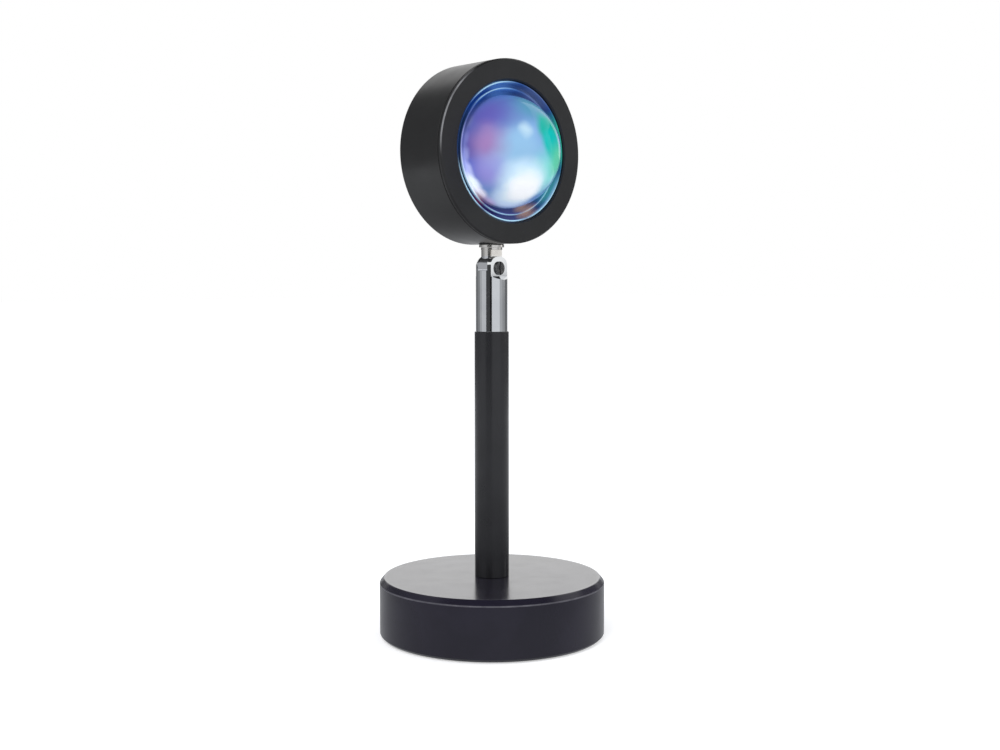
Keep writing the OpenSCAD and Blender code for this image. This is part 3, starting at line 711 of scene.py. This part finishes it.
def turned(name, corners, ends="capped", sides=SIDES, steps=5):
    """A piece turned round Z: a ring drawn out through corners, each a radius, a height and,
    where it is rounded, the rounding's own radius.
    Its ends are capped, joined to each other, or run together to a tip on the axis."""
    outline = rounded(corners, ends == "joined", steps)
    bpy.ops.object.select_all(action="DESELECT")
    radius, height = outline[0]
    bpy.ops.mesh.primitive_circle_add(vertices=sides, radius=radius, location=(0, 0, height),
                                      fill_type="NOTHING" if ends == "joined" else "NGON")
    piece = new_piece(name)
    bpy.ops.object.mode_set(mode="EDIT")
    bpy.ops.mesh.select_all(action="SELECT")
    for next_radius, next_height in outline[1:] + (outline[:1] if ends == "joined" else []):
        bpy.ops.mesh.extrude_region_move(TRANSFORM_OT_translate={"value": (0, 0, next_height - height)})
        if next_radius != radius:
            wider = next_radius / radius
            bpy.ops.transform.resize(value=(wider, wider, 1), center_override=(0, 0, next_height))
        radius, height = next_radius, next_height
    if ends == "tipped":
        bpy.ops.mesh.merge(type="CENTER")
    bpy.ops.mesh.select_all(action="SELECT")
    bpy.ops.mesh.remove_doubles(threshold=0.0005)
    bpy.ops.mesh.normals_make_consistent(inside=False)
    bpy.ops.object.mode_set(mode="OBJECT")
    bpy.ops.object.transform_apply(location=True, rotation=True, scale=True)
    return piece


def block(name, low, high):
    """A block between two corners."""
    bpy.ops.object.select_all(action="DESELECT")
    low, high = Vector(low), Vector(high)
    bpy.ops.mesh.primitive_cube_add(size=1, location=(low + high) / 2)
    piece = new_piece(name)
    piece.scale = high - low
    bpy.ops.object.transform_apply(location=True, rotation=True, scale=True)
    return piece


def turn_mesh(piece, angle, axis):
    """Turns a piece's mesh about an axis through the origin."""
    only(piece)
    bpy.ops.object.mode_set(mode="EDIT")
    bpy.ops.mesh.select_all(action="SELECT")
    # With no window this operator turns the other way
    bpy.ops.transform.rotate(value=-angle, orient_axis=axis, center_override=(0, 0, 0))
    bpy.ops.object.mode_set(mode="OBJECT")
    return piece


def move_mesh(piece, way):
    only(piece)
    bpy.ops.object.mode_set(mode="EDIT")
    bpy.ops.mesh.select_all(action="SELECT")
    bpy.ops.transform.translate(value=way)
    bpy.ops.object.mode_set(mode="OBJECT")
    return piece


def lay_over(piece, degrees, height):
    """Tips a piece made round Z about X, and lifts it to a height."""
    turn_mesh(piece, math.radians(degrees), "X")
    return move_mesh(piece, (0, 0, height))


def use_modifier(piece, kind, **settings):
    only(piece)
    bpy.ops.object.modifier_add(type=kind)
    modifier = piece.modifiers[-1]
    for setting, value in settings.items():
        setattr(modifier, setting, value)
    bpy.ops.object.modifier_apply(modifier=modifier.name)


def cut(piece, cutter, way="DIFFERENCE"):
    use_modifier(piece, "BOOLEAN", object=cutter, operation=way, solver="EXACT")
    bpy.data.objects.remove(cutter)
    return piece


def break_edges(piece, width=0.12, segments=3):
    """Takes the sharp edges off a cut piece."""
    use_modifier(piece, "BEVEL", width=width, segments=segments, limit_method="ANGLE",
                 angle_limit=SHARP)


def settle(piece, body, slot, *nodes, turn=None, place=(0, 0, 0), even=False):
    """Brings a piece from millimetres to its place in metres, all in its mesh, and says what it is."""
    only(piece)
    if turn:
        piece.rotation_euler = turn
    piece.location = Vector(place) * MM
    piece.scale = (MM, MM, MM)
    bpy.ops.object.transform_apply(location=True, rotation=True, scale=True)
    bpy.ops.object.shade_smooth_by_angle(angle=SHARP)
    if even:
        use_modifier(piece, "WEIGHTED_NORMAL", keep_sharp=True, weight=80)
    piece.data.materials.clear()
    piece.data.materials.append(FINISHES[slot])
    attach(piece, body)
    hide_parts(*nodes)
    return piece


# ---------- Base and pole ----------

def make_base_shell():
    shell = turned("painted_base_shell", [
        (5.1, BASE_TOP), (48, BASE_TOP, 0.4), (BASE_R, 24, 0.8), (BASE_R, 1.7, 0.4), (48.9, 0.6, 0.1),
        (48.4, 0.6), (48.4, 22.4), (46.4, 24.8), (5.1, 24.8),
    ], ends="joined")
    hole = turned("hole", [(3.8, 30), (3.8, 60)], sides=64)
    cut(shell, lay_over(hole, -90, INLET_Z))
    settle(shell, "base", "black_paint", "base_shell")


def make_base_pad():
    pad = turned("foam_base_pad", [(47.4, 0, 0.5), (47.4, 2, 0.2)])
    settle(pad, "base", "foam_pad", "base_pad")


def make_cable_gland():
    gland = turned("rubber_cable_gland", [
        (1.8, 43.6), (3.55, 43.6, 0.2), (3.55, 48.5), (5.5, 48.5), (5.5, 51.4, 0.5), (3.4, 51.4, 0.15),
        (3.0, 51.0, 0.15), (1.8, 51.0, 0.15),
    ], ends="joined", sides=96)
    lay_over(gland, -90, INLET_Z)
    wall = turned("wall", [
        (BASE_R - 1.6, -10), (BASE_R, -10), (BASE_R, 30), (BASE_R - 1.6, 30),
    ], ends="joined")
    throat = turned("throat", [(3.7, 40), (3.7, 60)], sides=64)
    cut(wall, lay_over(throat, -90, INLET_Z))
    cut(gland, wall)
    settle(gland, "base", "rubber", "cable_gland")


def make_pole():
    pole = turned("painted_pole", [
        (6.6, BASE_TOP), (POLE_R, BASE_TOP, 0.2), (POLE_R, POLE_TOP, 0.3), (6.6, POLE_TOP, 0.1),
    ], ends="joined", sides=FINE_SIDES)
    settle(pole, "base", "pole_paint", "pole_tube")


# ---------- Knuckle ----------

def slab(name, corners, low, high):
    """A flat shape in the XZ plane, drawn out along Y from low to high."""
    bpy.ops.object.select_all(action="DESELECT")
    bpy.ops.mesh.primitive_circle_add(vertices=len(corners), radius=1, fill_type="NGON")
    piece = new_piece(name)
    for vertex, (x, z) in zip(piece.data.vertices, corners):
        vertex.co = (x, low, z)
    bpy.ops.object.mode_set(mode="EDIT")
    bpy.ops.mesh.select_all(action="SELECT")
    bpy.ops.mesh.extrude_region_move(TRANSFORM_OT_translate={"value": (0, high - low, 0)})
    bpy.ops.mesh.select_all(action="SELECT")
    bpy.ops.mesh.normals_make_consistent(inside=False)
    bpy.ops.object.mode_set(mode="OBJECT")
    return piece


def arc(centre, radius, first, last, steps):
    """Points along an arc, from one angle to another in degrees."""
    return [(centre[0] + radius * math.cos(math.radians(first + (last - first) * i / steps)),
             centre[1] + radius * math.sin(math.radians(first + (last - first) * i / steps)))
            for i in range(steps + 1)]


def slot_cutter():
    """The room for the tongue: a round pocket, open above the near lip and lower on the far side."""
    lip, floor, pocket = -1, -5, 6.45
    first = math.degrees(math.asin(lip / -pocket)) + 180
    last = 360 + math.degrees(math.asin(floor / pocket))
    return slab("slot", [(9, PIVOT_Z + floor), (9, 180), (-9, 180), (-9, PIVOT_Z + lip)]
                + arc((0, PIVOT_Z), pocket, first, last, 48), -2.8, 2.8)


def ledge_cutter(side):
    """Takes an ear down to its flat, with a ledge that slopes outwards."""
    slope = 1.5 / (FORK_R - EAR_FLAT)
    ear = [(EAR_FLAT, LEDGE_Z), (9, LEDGE_Z - slope * (9 - EAR_FLAT)), (9, 180), (EAR_FLAT, 180)]
    return turn_mesh(slab("ear", ear, -9, 9), math.radians(90 * side), "Z")


def make_fork():
    fork = turned("chrome_fork", [
        (FORK_R, POLE_TOP, 0.15), (FORK_R, FORK_TOP, 4), (1.2, FORK_TOP),
    ], sides=FINE_SIDES, steps=12)
    cut(fork, slot_cutter())
    for side in (-1, 1):
        cut(fork, ledge_cutter(side))
    pin_hole = turned("pin_hole", [(1.8, -9), (1.8, 9)], sides=48)
    cut(fork, lay_over(pin_hole, 90, PIVOT_Z))
    cut(fork, turned("thread", [(5, 130), (5, 147.9)], sides=64))
    cut(fork, turned("wire_way", [(2.3, 140), (2.3, PIVOT_Z)], sides=48))
    break_edges(fork)
    settle(fork, "base", "chrome", "knuckle_fork", turn=(0, 0, FORK_TURN), even=True)


def make_pivot():
    head = turned("pivot_screw_head", [
        (1.7, -4.1), (1.7, EAR_FLAT), (3, EAR_FLAT, 0.08), (3, 5.15, 0.3), (2.35, 5.15, 0.1),
        (1.9, 4.9, 0.2), (0.3, 4.75),
    ], sides=FINE_SIDES)
    cut(head, block("driver_slot", (-0.35, -4, 4.45), (0.35, 4, 6)))
    break_edges(head, 0.05, 2)
    washer = turned("pivot_washer_ring", [
        (1.8, -4.75), (3, -4.75, 0.1), (3, -EAR_FLAT, 0.1), (1.8, -EAR_FLAT),
    ], ends="joined", sides=96)
    nut = turned("pivot_nut_hex", [(3.1754, -6.65), (3.1754, -4.75)], sides=6)
    cut(nut, turned("corners", [(2.65, -6.75), (2.75, -6.65), (3.3, -6.25), (3.3, -5.15), (2.75, -4.75),
                                (2.65, -4.65)], sides=96), "INTERSECT")
    thread = turned("thread_end", [(1.7, -4.2), (1.7, -6.4, 0.2), (0.4, -6.4)], sides=64)
    bore = turned("bore", [(1.72, -7), (1.72, -4)], sides=64)
    cut(nut, bore)
    break_edges(nut, 0.1, 2)
    for piece, slot, node in ((head, "steel", "pivot_screw"), (washer, "steel", "pivot_washer"),
                              (nut, "chrome", "pivot_nut")):
        turn_mesh(piece, math.radians(90), "X")
        settle(piece, "base", slot, node, turn=(0, 0, FORK_TURN), place=(0, 0, PIVOT_Z), even=True)
    turn_mesh(thread, math.radians(90), "X")
    settle(thread, "base", "steel", turn=(0, 0, FORK_TURN), place=(0, 0, PIVOT_Z))


def make_stem():
    stem = turned("swivel_stem_body", [(6.3, -2.7, 0.15), (6.3, 2.7, 0.15)], sides=FINE_SIDES)
    lay_over(stem, 90, PIVOT_Z)
    neck = turned("neck", [(4.75, PIVOT_Z), (4.75, FLATS_TOP)], sides=FINE_SIDES)
    cut(neck, block("flats", (-6, -2.7, 150), (6, 2.7, 180)), "INTERSECT")
    cut(stem, neck, "UNION")
    cut(stem, turned("collar", [
        (4.75, FLATS_TOP - 0.01), (4.75, FLANGE_Z), (5.6, FLANGE_Z, 0.2), (5.6, FLANGE_TOP, 0.2),
        (4, FLANGE_TOP), (4, 180.15, 0.3), (0.5, 180.15),
    ], sides=FINE_SIDES), "UNION")
    for side in (-1, 1):
        low, high = sorted((side * 2.25, side * 3.2))
        cut(stem, block("edge_groove", (-3.95, low, 168.4), (-3.45, high, FLATS_TOP - 0.15)))
    cut(stem, turned("bore", [(2.2, PIVOT_Z + 3.6), (2.2, 181)], sides=48))
    cut(stem, block("lead_window", (0, -1.3, PIVOT_Z + 3.6), (5, 1.3, PIVOT_Z + 6.2)))
    cut(stem, block("lead_channel", (2.6, -1.3, PIVOT_Z - 6.8), (5, 1.3, PIVOT_Z + 6.2)))
    pin_hole = turned("pin_hole", [(1.75, -9), (1.75, 9)], sides=48)
    cut(stem, lay_over(pin_hole, 90, PIVOT_Z))
    break_edges(stem)
    settle(stem, "knuckle", "nickel", "swivel_stem", turn=(0, 0, FORK_TURN), even=True)


# ---------- Head ----------

def make_drum():
    drum = turned("painted_drum", [
        (1, -FRONT), (HEAD_R, -FRONT, 0.8), (HEAD_R, 12.15, 0.25), (38, 12.15, 0.1), (38, -12.25, 0.5),
        (1, -12.25),
    ], steps=6)
    lay_over(drum, 90, HEAD_Z)
    cut(drum, turned("landing", [(5.8, LANDING_Z - 8), (5.8, LANDING_Z)], sides=96))
    cut(drum, turned("shank_hole", [(4.05, LANDING_Z - 8), (4.05, LANDING_Z + 6)], sides=96))
    settle(drum, "head", "drum_paint", "head_drum")


def make_bezel():
    bezel = turned("painted_bezel", [
        (31.2, FRONT, 0.1), (39.2, FRONT, 0.12), (HEAD_R, 13.65, 0.12), (HEAD_R, 12.55, 0.08), (38.9, 12.55),
        (38.9, 12.15), (37.9, 12.15), (37.9, 7.55, 0.2), (36.4, 7.55, 0.2), (36.4, 12.15), (33.1, 12.15),
        (33.1, 7.15), (31.5, 7.15), (31.5, 9.65), (30.6, 9.65), (30.6, 13.65, 0.1),
    ], ends="joined")
    settle(bezel, "head", "bezel_paint", "front_bezel", turn=HEAD_TURN, place=HEAD_PLACE)


def make_lens():
    dome = arc((0, DOME_MIDDLE), DOME_R, 0, 88, 44)
    lens = turned("coated_lens", [
        (29, 6.65), (31.4, 6.65, 0.2), (31.4, 9.65, 0.1), (30.2, 9.65), (30.2, 13.35, 0.2),
        (29.6, 13.35, 0.2), (29.3, 9.65, 0.3), (27.8, 9.65, 0.2), (27.4, 12.15, 0.2), (26.6, 12.15, 0.2),
        (26.3, 8.25, 0.2), (DOME_R, 8.25, 0.2),
    ] + dome, ends="tipped")
    settle(lens, "head", "lens_glass", "lens", turn=HEAD_TURN, place=HEAD_PLACE)


def make_slip_washer():
    washer = turned("slip_washer_ring", [
        (4.1, 173.75), (5.4, 173.75, 0.1), (5.4, LANDING_Z, 0.1), (4.1, LANDING_Z),
    ], ends="joined", sides=96)
    settle(washer, "head", "black_plastic", "slip_washer")


def dress_inner_parts():
    """Every CAD part that stays gets the finish of its slot."""
    slots = {row["node"]: row["material_slot"] for row in frame["record"]["subparts"]}
    for name, node in frame["nodes"].items():
        if not node.hide_render:
            node.data.materials.clear()
            node.data.materials.append(FINISHES[slots[name]])


make_finishes()
place_camera()
light_world()
lay_floor()
for row in CARDS:
    card(*row)
finish_card(new_sheet("ceiling_card", 2.8, (-0.13, -0.15, 1.9)), 0.02)
floor_card()
soft_lamp("key_lamp", (-0.9, -0.5, 0.9), (0, 0, 0.15), (0.5, 0.5), 6)
soft_lamp("fill_lamp", (1.0, -0.6, 0.5), (0, 0, 0.15), (0.5, 0.5), 4)

make_base_shell()
make_base_pad()
make_cable_gland()
make_pole()
make_fork()
make_pivot()
make_stem()
make_drum()
make_bezel()
make_lens()
make_slip_washer()
dress_inner_parts()
